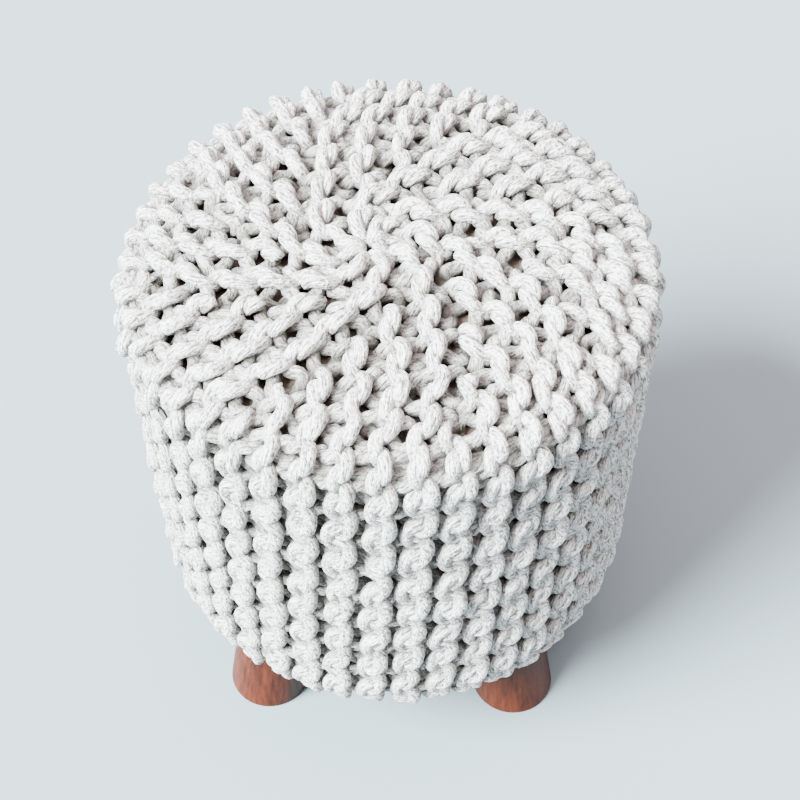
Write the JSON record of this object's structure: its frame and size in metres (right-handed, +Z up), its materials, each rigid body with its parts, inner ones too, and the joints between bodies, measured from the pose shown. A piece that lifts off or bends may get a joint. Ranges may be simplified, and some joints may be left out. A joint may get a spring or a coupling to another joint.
{
  "type": "knitted pouf footstool with wooden feet",
  "caption": "Round padded footstool in a chunky garter-stitch cord cover with a swirled top, standing on short splayed round wooden feet.",
  "frame": {"origin": "on the floor, under the middle of the drum", "axes": "+Z up along the drum's axis, -Y towards the front, +X to the right as seen from the front"},
  "size_m": [0.3975, 0.3978, 0.4496],
  "materials": {
    "cotton_cord": "matt off-white cotton cord, thick and softly plied",
    "stained_wood": "reddish brown stain, satin"
  },
  "bodies": {
    "root": {"knit_cover": "cotton_cord", "foot_front_right": "stained_wood", "foot_back_right": "stained_wood", "foot_back_left": "stained_wood", "foot_front_left": "stained_wood"}
  },
  "joints": []
}
